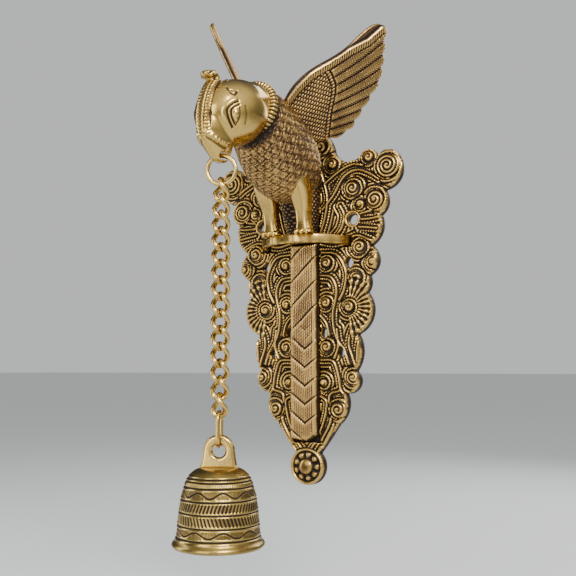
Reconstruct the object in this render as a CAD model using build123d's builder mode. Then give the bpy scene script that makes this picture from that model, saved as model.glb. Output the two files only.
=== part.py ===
"""Brass parrot wall bracket with a hanging puja bell.

Frame: +Z is up, the wall is the plane y = 0 and the bracket stands out towards -Y.
The origin is midway between the two wall screw holes, on the wall plane.
All sizes are in millimetres.
"""
import os
from math import cos, radians, sin

from build123d import *

os.makedirs("parts", exist_ok=True)

# ---------------------------------------------------------------- driving dimensions
# back plate
plate_thick = 4.0
relief_high = 3.0
rim_wide = 2.4
wall_hole_spacing = 72.0
wall_hole_r = 3.5
boss_z = -170.5
boss_r = 13.0
fan_centre = (33.0, -62.0)
fan_rib_start = 9.0
fan_rib_long = 11.0
fan_rib_wide = 2.2
boss_dome_r = 6.0
boss_dome_high = 4.5

# perch
perch_outer_r = 35.0
perch_inner_r = 30.5
perch_top = -11.7
perch_high = 6.5

# parrot
collar_centre = (0, -83.0, 61.0)
collar_tilt = 12.0
collar_r = 17.4
collar_bead_r = 3.0
body_start = (0, -14.0, 24.0)
rump_half_wide = 11.0
leg_x = 12.7
head_yaw = 11.0
head_drop = 20.0
head_long = 44.0
head_r = 20.5
bill_wide = 7.0
bill_slot_long = 11.4
bill_slot_high = 5.8
crest_back = (33, 74.5)
bill_tip = (27, 21.4)
bill_root = (16.5, 38)
wing_thick = 3.2
wall_clearance = 1.0

# tail
tail_wide = 17.5
tail_thick = 9.5
tail_top = -16.0
tail_bottom = -153.0

# rear screws
screw_r = 2.0
screw_long = 10.0
screw_head_r = 4.0
screw_slot_wide = 1.0
screw_slot_deep = 0.8
screw_heights = (30.0, 2.0, -52.0, -136.0)

# ring, chain and bell, all hanging on one plumb line
ring_reach = 24.6
ring_top = 26.3
ring_r = 8.85
ring_wire_r = 1.4
hang_yaw = 22.0
wire_r = 1.25
wire_gap = 0.1
link_count = 14
link_pitch = 10.0
link_half_wide = 4.6
long_link_half_high = 10.05
long_link_half_wide = 5.2

eye_hole_r = 3.9
eye_outer_r = 9.4
eye_thick = 5.0
eye_round = 1.8
eye_foot_half_wide = 11.0
bell_shoulder_drop = 9.7
bell_high = 45.0
bell_lip_r = 27.25
crown_thick = 3.5

staple_wire_r = 1.1
staple_half_wide = 3.6
staple_drop = 4.5
hook_wire_r = 0.9
hook_half_high = 5.0
hook_half_wide = 3.0
clapper_eye_r = 2.6
clapper_eye_wire_r = 0.95
clapper_rod_r = 1.3
clapper_ball_r = 6.0
clapper_drop = 20.1

# ---------------------------------------------------------------- derived places
facing = (-sin(radians(head_yaw)), -cos(radians(head_yaw)))
hang_x = collar_centre[0] + ring_reach * facing[0]
hang_y = -84.0 + ring_reach * facing[1]
ring_centre_z = ring_top - ring_r
link_half_high = (link_pitch + 2 * wire_r + wire_gap) / 2
first_link_z = ring_centre_z - ring_r + ring_wire_r + wire_r + wire_gap - link_half_high
last_link_z = first_link_z - (link_count - 1) * link_pitch
long_link_z = last_link_z - link_half_high + 2 * wire_r + wire_gap - long_link_half_high
eye_z = long_link_z - long_link_half_high + wire_r + wire_gap - eye_hole_r
shoulder_z = eye_z - bell_shoulder_drop
lip_z = shoulder_z - bell_high
crown_z = shoulder_z - crown_thick
staple_z = crown_z - staple_drop
hook_z = staple_z + staple_wire_r + hook_wire_r + wire_gap - hook_half_high
hook_low_z = hook_z - hook_half_high
clapper_eye_z = hook_low_z + hook_wire_r + clapper_eye_wire_r + wire_gap - clapper_eye_r
ball_z = hook_low_z - clapper_drop


def finish(builder, name):
    """Label one finished piece and write it to its own STEP file."""
    builder.part.label = name
    export_step(builder.part, f"parts/{name}.step")


def hanging_plane(yaw, z=0.0):
    """Upright plane on the plumb line: its x runs along yaw, its y is up."""
    along = (cos(radians(yaw)), sin(radians(yaw)), 0)
    return Plane(origin=(hang_x, hang_y, z), x_dir=along, z_dir=(along[1], -along[0], 0))


# ---------------------------------------------------------------- back plate
# The right edge from the top centre down to the boss: each row is the bulge and
# the end of one arc, starting where the last one ended.
edge_start = (0, 67)
edge_arcs = [
    ((15.5, 62), (22, 50)),
    ((25.5, 44.5), (31, 41.5)),
    ((36.5, 42), (41.5, 44)),
    ((48, 48.5), (54.5, 42)),
    ((63, 46.6), (71, 40)),
    ((71.4, 27), (60, 18.5)),
    ((62, 10), (57, 1.7)),
    ((58, -6), (49.6, -19)),
    ((54.5, -31), (48, -39.5)),
    ((48.6, -45), (46.3, -51)),
    ((50.4, -63), (39.2, -79.6)),
    ((42, -92), (37.5, -104.7)),
    ((40.4, -112), (30, -120)),
    ((31, -131), (24.4, -141)),
    ((18.5, -149.5), (9.5, -161.6)),
    ((13, -170.5), (0, -183.5)),
]

# Scroll eyes standing proud of the plate: x, z and outer radius
volutes = [
    (47.5, 42, 4.5),
    (61, 34, 9.5),
    (52, 12, 8.0),
    (36, 21, 7.0),
    (40, 8, 5.0),
    (43, -20, 6.0),
    (48, -31, 6.0),
    (15.5, -29, 4.5),
    (15, -57, 4.5),
    (15.5, -88, 5.5),
    (35, -109, 6.5),
    (23, -131, 7.0),
]

# Openings through the plate beside the tail: x, z, half width, half height
piercings = [
    (33, -30, 2.2, 3.4),
    (13.5, -78.5, 1.8, 3.6),
    (27, -92, 1.6, 3.2),
]

with BuildPart() as back_plate:
    with BuildSketch(Plane.XZ) as outline:
        with BuildLine():
            last = edge_start
            for bulge, end in edge_arcs:
                ThreePointArc(last, bulge, end)
                last = end
            mirror(about=Plane.YZ)
        make_face()
        with Locations((-wall_hole_spacing / 2, 0), (wall_hole_spacing / 2, 0)):
            Circle(wall_hole_r, mode=Mode.SUBTRACT)
        for x, z, half_wide, half_high in piercings:
            with Locations((x, z), (-x, z)):
                Ellipse(half_wide, half_high, mode=Mode.SUBTRACT)
    extrude(amount=plate_thick)
    front = Plane.XZ.offset(plate_thick)
    with BuildSketch(front):
        for x, z, r in volutes:
            with Locations((x, z), (-x, z)):
                Circle(r)
                Circle(r - rim_wide, mode=Mode.SUBTRACT)
                Circle(r * 0.28)
        with Locations((-wall_hole_spacing / 2, 0), (wall_hole_spacing / 2, 0)):
            Circle(wall_hole_r + rim_wide)
            Circle(wall_hole_r, mode=Mode.SUBTRACT)
        with Locations((0, boss_z)):
            Circle(boss_r - 0.6)
            Circle(boss_r - rim_wide, mode=Mode.SUBTRACT)
        for side in (-1, 1):
            for turn in range(-50, 51, 20):
                rib_x = side * (fan_centre[0] + fan_rib_start * cos(radians(turn)))
                rib_z = fan_centre[1] + fan_rib_start * sin(radians(turn))
                with Locations((rib_x, rib_z)):
                    SlotOverall(fan_rib_long, fan_rib_wide, rotation=turn * side)
    extrude(amount=relief_high)
    with BuildSketch(front):
        with Locations((0, boss_z)):
            Circle(boss_dome_r)
    extrude(amount=boss_dome_high, taper=12)
    with BuildSketch(Plane.XZ):
        with Locations(*[(0, z) for z in screw_heights]):
            Circle(screw_r)
    extrude(amount=plate_thick, mode=Mode.SUBTRACT)
    for z in screw_heights:
        with BuildSketch(Plane.XZ):
            with Locations((0, z)):
                Circle(screw_head_r)
        extrude(amount=screw_head_r - screw_r, taper=45, mode=Mode.SUBTRACT)
finish(back_plate, "back_plate")

# ---------------------------------------------------------------- rear screws
with BuildPart() as rear_screws:
    for z in screw_heights:
        with BuildSketch(Plane.XZ):
            with Locations((0, z)):
                Circle(screw_head_r)
        extrude(amount=screw_head_r - screw_r, taper=45)
        with BuildSketch(Plane.XZ):
            with Locations((0, z)):
                Circle(screw_r)
        extrude(amount=screw_long)
        with BuildSketch(Plane.XZ):
            with Locations((0, z)):
                Rectangle(2 * screw_head_r, screw_slot_wide)
        extrude(amount=screw_slot_deep, mode=Mode.SUBTRACT)
finish(rear_screws, "rear_screws")

# ---------------------------------------------------------------- perch hoop
with BuildPart() as perch_hoop:
    with BuildSketch(Plane.XY.offset(perch_top - perch_high)):
        Circle(perch_outer_r)
        Circle(perch_inner_r, mode=Mode.SUBTRACT)
        with Locations((0, perch_outer_r - plate_thick)):
            Rectangle(3 * perch_outer_r, 2 * perch_outer_r, mode=Mode.SUBTRACT)
    extrude(amount=perch_high)
    top_arcs = perch_hoop.edges().group_by(Axis.Z)[-1].filter_by(GeomType.CIRCLE)
    chamfer(top_arcs, length=1.0)
finish(perch_hoop, "perch_hoop")

# ---------------------------------------------------------------- wings
# Each wing is a blade from the shoulder out to the tip; the left one is raised more steeply.


def wing(shoulder, tip, rear):
    """One wing blade in the plane through its shoulder, its tip and its lower rear corner."""
    span = (tip - shoulder).normalized()
    normal = span.cross(rear - shoulder).normalized()
    with BuildPart() as blade:
        with BuildSketch(Plane(origin=shoulder, x_dir=span, z_dir=normal)):
            with BuildLine():
                Spline((-5, 4), (7, -3), (21, -5.5), (52, -4), (81, -4), (84.5, 0))
                Spline((84.5, 0), (75, 20.5), (62, 39), (38, 52), (22, 51.5))
                Spline((22, 51.5), (10, 44.5), (0, 38), (-7, 22), (-5, 4))
            make_face()
        extrude(amount=wing_thick / 2, both=True)
        split(bisect_by=Plane.XZ.offset(wall_clearance), keep=Keep.TOP)
    return blade


right_wing = wing(Vector(15, -61, 75), Vector(69, -20, 125), Vector(26, -8, 59))
finish(right_wing, "right_wing")

left_wing = wing(Vector(-15, -61, 75), Vector(-56, -44, 139), Vector(-25, -9, 60))
finish(left_wing, "left_wing")

# ---------------------------------------------------------------- parrot body
body_line = Vector(*collar_centre) - Vector(*body_start)
collar_normal = Vector(0, -cos(radians(collar_tilt)), sin(radians(collar_tilt)))
collar_plane = Plane(origin=collar_centre, x_dir=(1, 0, 0), z_dir=collar_normal)

# Cross sections of the body: share of its length, half width, half depth and
# how far the section leans back from upright, in degrees
body_sections = [
    (-0.04, 8, 8, 32),
    (0.05, 15, 16, 32),
    (0.22, 21, 25, 30),
    (0.42, 23, 28.5, 28),
    (0.62, 22.5, 27, 24),
    (0.82, 19.5, 23.5, 18),
    (1.0, 16.5, 19.5, collar_tilt),
]

# Cross sections of a leg: height, how far it stands out from the leg line, its y,
# its width and depth, and its corner radius
leg_sections = [
    (perch_top, 0, -32.8, 12.0, 8.4, 2.6),
    (3, 0, -34, 9.4, 8.2, 2.6),
    (30, 1, -41, 14.0, 20.0, 4.0),
]

with BuildPart() as parrot_body:
    for share, half_wide, half_deep, lean in body_sections:
        here = Vector(*body_start) + body_line * share
        ahead = Vector(0, -cos(radians(lean)), sin(radians(lean)))
        with BuildSketch(Plane(origin=here, x_dir=(1, 0, 0), z_dir=ahead)):
            Ellipse(half_wide, half_deep)
    loft()
    with BuildSketch(Plane.YZ):
        with BuildLine():
            Polyline(
                (-plate_thick, 46),
                (-plate_thick, tail_top),
                (-plate_thick - tail_thick, tail_top),
                (-24, 12),
                (-30, 40),
                close=True,
            )
        make_face()
    extrude(amount=rump_half_wide, both=True)
    for side in (-1, 1):
        for height, out, y, wide, deep, corner in leg_sections:
            with BuildSketch(Plane.XY.offset(height)):
                with Locations((side * (leg_x + out), y)):
                    RectangleRounded(wide, deep, corner)
        loft()
    with BuildSketch(Plane.XZ):
        with Locations(*[(0, z) for z in screw_heights[:2]]):
            Circle(screw_r)
    extrude(amount=screw_long, mode=Mode.SUBTRACT)
    with Locations(collar_plane):
        Torus(collar_r, collar_bead_r, mode=Mode.SUBTRACT)
    add(right_wing.part, mode=Mode.SUBTRACT)
    add(left_wing.part, mode=Mode.SUBTRACT)
finish(parrot_body, "parrot_body")

# ---------------------------------------------------------------- neck collar
with BuildPart() as neck_collar:
    with Locations(collar_plane):
        Torus(collar_r, collar_bead_r)
finish(neck_collar, "neck_collar")

# ---------------------------------------------------------------- parrot head
head_level = cos(radians(head_drop))
head_forward = Vector(facing[0] * head_level, facing[1] * head_level, -sin(radians(head_drop)))
head_across = Vector(-facing[1], facing[0], 0)
head_plane = Plane(origin=collar_centre, x_dir=head_forward, z_dir=-head_across)
sagittal = Plane(origin=(0, -84, 0), x_dir=(facing[0], facing[1], 0), z_dir=-head_across)

with BuildPart() as parrot_head:
    with BuildSketch(head_plane):
        with BuildLine():
            Line((-12, 0), (-12, 14))
            Spline((-12, 14), (2, 18), (20, head_r), (32, 17.2), (41, 9.5), (head_long, 0))
            Line((head_long, 0), (-12, 0))
        make_face()
    revolve(axis=Axis(collar_centre, head_forward))
    split(bisect_by=collar_plane, keep=Keep.TOP)
    # crest strip and bill, seen from the side: forward of the neck, and height
    with BuildSketch(sagittal):
        with BuildLine():
            Spline(crest_back, (38.5, 66), (42.5, 55), (44, 44), (41, 32.5), (35, 25), bill_tip)
            Spline(bill_tip, (20.5, 23.5), (17, 29), bill_root)
            Polyline(bill_root, (24, 60), crest_back)
        make_face()
    extrude(amount=bill_wide / 2, both=True)
    with BuildSketch(sagittal):
        with Locations((ring_reach + 0.3, ring_top - 0.7)):
            SlotOverall(bill_slot_long, bill_slot_high)
    extrude(amount=30, both=True, mode=Mode.SUBTRACT)
    with Locations(collar_plane):
        Torus(collar_r, collar_bead_r, mode=Mode.SUBTRACT)
finish(parrot_head, "parrot_head")

# ---------------------------------------------------------------- tail
with BuildPart() as tail_plank:
    with BuildSketch(Plane.XZ.offset(plate_thick)):
        with BuildLine():
            Polyline(
                (-tail_wide / 2, tail_top),
                (tail_wide / 2, tail_top),
                (tail_wide / 2, tail_bottom + 5),
                (2, tail_bottom),
                (-tail_wide / 2, tail_bottom + 2),
                close=True,
            )
        make_face()
    extrude(amount=tail_thick)
    chamfer(tail_plank.edges().group_by(Axis.Y)[0].filter_by(Axis.Z), length=1.6)
    with BuildSketch(Plane.XZ):
        with Locations(*[(0, z) for z in screw_heights[2:]]):
            Circle(screw_r)
    extrude(amount=screw_long, mode=Mode.SUBTRACT)
finish(tail_plank, "tail_plank")

# ---------------------------------------------------------------- beak ring
with BuildPart() as beak_ring:
    with Locations(hanging_plane(hang_yaw, ring_centre_z)):
        Torus(ring_r, ring_wire_r)
finish(beak_ring, "beak_ring")

# ---------------------------------------------------------------- chain


def wire_link(centre_z, half_wide, half_high, yaw, radius):
    """One flat wire link with straight sides and round ends."""
    straight = half_high - half_wide
    with BuildPart() as link:
        with BuildLine(hanging_plane(yaw, centre_z)) as path:
            Line((half_wide, -straight), (half_wide, straight))
            ThreePointArc((half_wide, straight), (0, half_high), (-half_wide, straight))
            Line((-half_wide, straight), (-half_wide, -straight))
            ThreePointArc((-half_wide, -straight), (0, -half_high), (half_wide, -straight))
        with BuildSketch(Plane(origin=path.line @ 0, z_dir=path.line % 0)):
            Circle(radius)
        sweep(path=path.line)
    return link


for number in range(1, link_count + 1):
    height = first_link_z - (number - 1) * link_pitch
    heading = hang_yaw + 90 * (number % 2)
    link = wire_link(height, link_half_wide, link_half_high, heading, wire_r)
    finish(link, f"chain_link_{number:02d}")

long_link = wire_link(
    long_link_z, long_link_half_wide, long_link_half_high, hang_yaw + 90, wire_r
)
finish(long_link, "long_link")

# ---------------------------------------------------------------- bell
# Outer and inner outlines: radius, and drop below the shoulder
bell_outer = [(11, 0), (16, 2.4), (19, 6.7), (22.2, 17), (24, 32), (24.8, 38.5)]
bell_lip = [bell_outer[-1], (26.85, 42.2), (bell_lip_r, 43.6), (26.3, bell_high)]
bell_inner = [(23.4, 43.5), (21.9, 37), (21, 30), (19.2, 18), (16.2, 9.5), (12, 5.0), (7, crown_thick)]
groove_r = 0.5
groove_drops = (8.5, 10.5, 14.0, 21.5, 28.5, 35.0, 40.2)


def bell_radius(drop):
    """Outer radius of the bell at a drop below its shoulder."""
    outline = bell_outer + bell_lip[1:]
    for (r0, d0), (r1, d1) in zip(outline, outline[1:]):
        if d0 <= drop <= d1:
            return r0 + (r1 - r0) * (drop - d0) / (d1 - d0)


def below_shoulder(outline):
    """An outline of radius and drop as points in the upright plane through the shoulder."""
    return [(r, -drop) for r, drop in outline]


with BuildPart() as bell:
    with BuildSketch(hanging_plane(0, shoulder_z)):
        with BuildLine():
            Spline(*below_shoulder(bell_outer))
            Spline(*below_shoulder(bell_lip))
            Line(*below_shoulder([bell_lip[-1], bell_inner[0]]))
            Spline(*below_shoulder(bell_inner))
            Polyline(*below_shoulder([bell_inner[-1], (0, crown_thick), (0, 0), bell_outer[0]]))
        make_face()
    revolve(axis=Axis((hang_x, hang_y, 0), (0, 0, 1)))
    for drop in groove_drops:
        with Locations((hang_x, hang_y, shoulder_z - drop)):
            Torus(bell_radius(drop) + 0.3 * groove_r, groove_r, mode=Mode.SUBTRACT)
    with BuildSketch(hanging_plane(hang_yaw, eye_z)):
        with BuildLine():
            ThreePointArc((-eye_outer_r, 0), (0, eye_outer_r), (eye_outer_r, 0))
            Polyline(
                (eye_outer_r, 0),
                (eye_foot_half_wide, -bell_shoulder_drop - 1),
                (-eye_foot_half_wide, -bell_shoulder_drop - 1),
                (-eye_outer_r, 0),
            )
        make_face()
        Circle(eye_hole_r, mode=Mode.SUBTRACT)
    extrude(amount=eye_thick / 2, both=True)
    round_edges = bell.edges().filter_by(GeomType.CIRCLE)
    fillet([edge for edge in round_edges if abs(edge.radius - eye_hole_r) < 0.01], radius=eye_round)
finish(bell, "bell")

# ---------------------------------------------------------------- clapper
with BuildPart() as clapper_staple:
    with BuildLine(hanging_plane(0, crown_z)) as staple_path:
        bend = staple_half_wide - staple_drop
        Line((-staple_half_wide, 0), (-staple_half_wide, bend))
        ThreePointArc((-staple_half_wide, bend), (0, -staple_drop), (staple_half_wide, bend))
        Line((staple_half_wide, bend), (staple_half_wide, 0))
    staple_foot = (hang_x - staple_half_wide, hang_y, crown_z)
    with BuildSketch(Plane(origin=staple_foot, z_dir=(0, 0, -1))):
        Circle(staple_wire_r)
    sweep(path=staple_path.line)
finish(clapper_staple, "clapper_staple")

clapper_hook = wire_link(hook_z, hook_half_wide, hook_half_high, 90, hook_wire_r)
finish(clapper_hook, "clapper_hook")

with BuildPart() as clapper:
    with Locations(hanging_plane(0, clapper_eye_z)):
        Torus(clapper_eye_r, clapper_eye_wire_r)
    with Locations((hang_x, hang_y, (clapper_eye_z - clapper_eye_r + ball_z) / 2)):
        Cylinder(clapper_rod_r, clapper_eye_z - clapper_eye_r - ball_z)
    with Locations((hang_x, hang_y, ball_z)):
        Sphere(clapper_ball_r)
finish(clapper, "clapper")
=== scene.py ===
"""Looks of the brass parrot wall bracket with its hanging bell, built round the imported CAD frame.

Helpers work in millimetres in the CAD frame (+Z up, wall at y = 0, bracket towards -Y) and
write meshes in metres. A point attribute called "relief" runs from 0 in the deepest cuts to
1 on the highest spots, and the brass materials darken the first and polish the second.
"""
from math import cos, pi, radians, sin

import bmesh
import bpy
import numpy as np
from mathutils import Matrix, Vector


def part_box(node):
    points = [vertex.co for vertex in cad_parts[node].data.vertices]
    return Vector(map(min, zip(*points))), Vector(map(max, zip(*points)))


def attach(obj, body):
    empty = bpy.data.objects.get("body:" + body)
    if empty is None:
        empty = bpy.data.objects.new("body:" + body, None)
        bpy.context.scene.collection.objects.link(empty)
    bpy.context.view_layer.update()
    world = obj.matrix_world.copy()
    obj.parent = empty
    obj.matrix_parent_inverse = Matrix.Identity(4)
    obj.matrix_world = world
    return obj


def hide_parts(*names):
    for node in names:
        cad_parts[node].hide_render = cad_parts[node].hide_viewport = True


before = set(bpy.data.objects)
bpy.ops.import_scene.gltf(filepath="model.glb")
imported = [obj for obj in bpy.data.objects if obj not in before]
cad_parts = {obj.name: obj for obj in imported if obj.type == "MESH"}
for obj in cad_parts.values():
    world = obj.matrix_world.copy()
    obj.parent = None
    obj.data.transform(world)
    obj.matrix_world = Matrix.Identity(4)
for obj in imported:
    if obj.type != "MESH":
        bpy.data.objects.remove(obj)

MM = 0.001
FAR = 1e9
PIT_SIDES = 32
X_AXIS, Y_AXIS, UP = np.eye(3)
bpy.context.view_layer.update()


# ---- small helpers
def node_box(node):
    """A CAD node's lowest and highest corners, in millimetres."""
    low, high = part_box(node)
    return np.array(low) / MM, np.array(high) / MM


def unit(vector):
    vector = np.asarray(vector, float)
    return vector / np.linalg.norm(vector)


def directions(path, closed=False):
    """Unit vectors along a path, one for each of its points."""
    ahead = np.roll(path, -1, 0) - np.roll(path, 1, 0) if closed else np.gradient(path, axis=0)
    return ahead / np.linalg.norm(ahead, axis=1, keepdims=True)


def smooth_curve(points, count):
    """Catmull-Rom curve through the points, sampled evenly in its parameter."""
    p = np.asarray(points, float)
    p = np.vstack([2 * p[0] - p[1], p, 2 * p[-1] - p[-2]])
    t = np.linspace(0, len(p) - 3 - 1e-9, count)
    i = t.astype(int)
    f = (t - i)[:, None]
    a, b, c, d = p[i], p[i + 1], p[i + 2], p[i + 3]
    return 0.5 * (2 * b + (c - a) * f + (2 * a - 5 * b + 4 * c - d) * f**2 + (3 * b - a - 3 * c + d) * f**3)


def wave(phase):
    """0 in the valleys and 1 on the ridges, once per unit of phase."""
    return 0.5 + 0.5 * np.cos(2 * pi * phase)


def bump(distance, width):
    """A soft ridge of height 1 along distance 0."""
    return np.exp(-((distance / width) ** 2))


def vectors(mesh, kind="co"):
    """Every vertex's position, or its normal, as rows."""
    values = np.zeros(len(mesh.vertices) * 3)
    mesh.vertices.foreach_get(kind, values)
    return values.reshape(-1, 3)


def placed(name, data):
    """A new object in the scene."""
    thing = bpy.data.objects.new(name, data)
    bpy.context.scene.collection.objects.link(thing)
    return thing


def linked_piece(name, verts, faces):
    """A mesh object in the scene, from millimetres, with its faces turned outwards."""
    mesh = bpy.data.meshes.new(name)
    mesh.from_pydata((np.asarray(verts) * MM).tolist(), [], [list(map(int, f)) for f in faces])
    edit = bmesh.new()
    edit.from_mesh(mesh)
    bmesh.ops.recalc_face_normals(edit, faces=edit.faces)
    edit.to_mesh(mesh)
    edit.free()
    return placed(name, mesh)


def finish_piece(piece, body, material, relief, replaces=()):
    """Relief and material on the piece's mesh, and its place on a CAD body."""
    values = np.clip(relief, 0, 1).astype(np.float32)
    piece.data.attributes.new("relief", "FLOAT", "POINT").data.foreach_set("value", values)
    piece.data.materials.clear()
    piece.data.materials.append(material)
    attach(piece, body)
    if replaces:
        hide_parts(*replaces)


def add_piece(name, verts, faces, body, material, relief, replaces=()):
    """One mesh piece riding on a CAD body, smooth but for its triangles."""
    piece = linked_piece(name, verts, faces)
    piece.data.polygons.foreach_set("use_smooth", [len(f) > 3 for f in faces])
    finish_piece(piece, body, material, np.broadcast_to(relief, len(verts)), replaces)


def grid_faces(rows, columns, wrap_rows=False):
    """Quads over a grid of points stored row after row, each row a closed ring."""
    i, j = np.meshgrid(np.arange(rows if wrap_rows else rows - 1), np.arange(columns), indexing="ij")
    i, j = i.ravel(), j.ravel()
    i2, j2 = (i + 1) % rows, (j + 1) % columns
    return np.stack([i * columns + j, i * columns + j2, i2 * columns + j2, i2 * columns + j], 1)


def tube(centres, halves_u, halves_v, around=32, power=1.0, closed=False, lift=None):
    """Sweep of a rounded section: returns verts, faces and the lift used.

    halves_u and halves_v are the section's half axes as vectors; power under 1 squares it up.
    lift(along, angle) adds height outwards, with along from 0 to 1.
    """
    centres = np.asarray(centres, float)
    n = len(centres)
    angle = np.linspace(0, 2 * pi, around, endpoint=False)
    c = np.sign(np.cos(angle)) * np.abs(np.cos(angle)) ** power
    s = np.sign(np.sin(angle)) * np.abs(np.sin(angle)) ** power
    offset = halves_u[:, None] * c[None, :, None] + halves_v[:, None] * s[None, :, None]
    raised = np.zeros((n, around))
    if lift is not None:
        along = np.linspace(0, 1, n, endpoint=not closed)
        raised = lift(*np.meshgrid(along, angle, indexing="ij"))
    size = np.linalg.norm(offset, axis=2, keepdims=True) + 1e-9
    points = centres[:, None] + offset * (1 + raised[..., None] / size)
    verts = points.reshape(-1, 3)
    faces = [tuple(f) for f in grid_faces(n, around, wrap_rows=closed)]
    raised = raised.ravel()
    if not closed:
        for row in (0, n - 1):
            ring = list(range(row * around, (row + 1) * around))
            faces += [(ring[k], ring[(k + 1) % around], len(verts)) for k in range(around)]
            verts = np.vstack([verts, centres[row]])
            raised = np.append(raised, 0)
    return verts, faces, raised


def wire_loop(path, radius, around):
    """Round wire along a closed path, with frames that follow the path's own plane."""
    ahead = directions(path, closed=True)
    out = path - path.mean(0)
    out -= (out * ahead).sum(1, keepdims=True) * ahead
    out /= np.linalg.norm(out, axis=1, keepdims=True)
    side = np.cross(ahead, out)
    return tube(path, out * radius, side * radius, around, closed=True)[:2]


# ---- plates with relief
def open_edges(edges):
    """The directed edges whose reverse isn't among them, in order."""
    kept = {}
    for a, b in edges:
        if (b, a) in kept:
            del kept[(b, a)]
        elif a != b:
            kept[(a, b)] = True
    return list(kept)


def flat_loops(node, origin, across, up):
    """Outline loops of a flat CAD node's top face, in its own plane: the outer loop and the holes."""
    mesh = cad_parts[node].data
    world = vectors(mesh) / MM - origin
    normal = np.cross(across, up)
    flat = np.stack([world @ across, world @ up], 1)
    depth = world @ normal
    top = depth.max()
    edges = []
    for face in mesh.polygons:
        if all(abs(depth[v] - top) < 0.02 for v in face.vertices):
            keys = [tuple(np.round(flat[v], 3)) for v in face.vertices]
            edges += zip(keys, keys[1:] + keys[:1])
    following = dict(open_edges(edges))
    loops = []
    while following:
        start, here = following.popitem()
        loop = [start]
        while here != start and here in following:
            loop.append(here)
            here = following.pop(here)
        loops.append(np.array(loop))
    return sorted(loops, key=lambda p: -np.ptp(p[:, 1]))


def wall_loops(node, widen=1.0):
    """Outline loops of a node that lies flat on the wall, as x and z."""
    loops = flat_loops(node, np.zeros(3), np.array([-1.0, 0, 0]), np.array([0, 0, 1.0]))
    return [loop * [-widen, 1] for loop in loops]


def on_wall(x, z, height):
    return np.stack([x, -height, z], 1)


def signed_distance(x, y, loops):
    """Distance to the nearest outline, negative on the material side, and the point there."""
    best = np.full(x.shape, FAR)
    near_x, near_y = np.zeros_like(x), np.zeros_like(y)
    inside = np.zeros(x.shape, bool)
    for loop in loops:
        for a, b in zip(loop, np.roll(loop, -1, 0)):
            d = b - a
            t = np.clip(((x - a[0]) * d[0] + (y - a[1]) * d[1]) / (d @ d + 1e-12), 0, 1)
            qx, qy = a[0] + t * d[0], a[1] + t * d[1]
            distance = (x - qx) ** 2 + (y - qy) ** 2
            closer = distance < best
            best = np.where(closer, distance, best)
            near_x, near_y = np.where(closer, qx, near_x), np.where(closer, qy, near_y)
            crosses = (a[1] > y) != (b[1] > y)
            if crosses.any():
                inside ^= crosses & (x < (b[0] - a[0]) * (y - a[1]) / (b[1] - a[1] + 1e-12) + a[0])
    return np.where(inside, -1, 1) * np.sqrt(best), near_x, near_y


def blur(field, cells):
    """Box blur of a 2-D field, run twice."""
    for _ in range(2):
        for axis in (0, 1):
            total = sum(np.roll(field, k, axis) for k in range(-cells, cells + 1))
            field = total / (2 * cells + 1)
    return field


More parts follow.
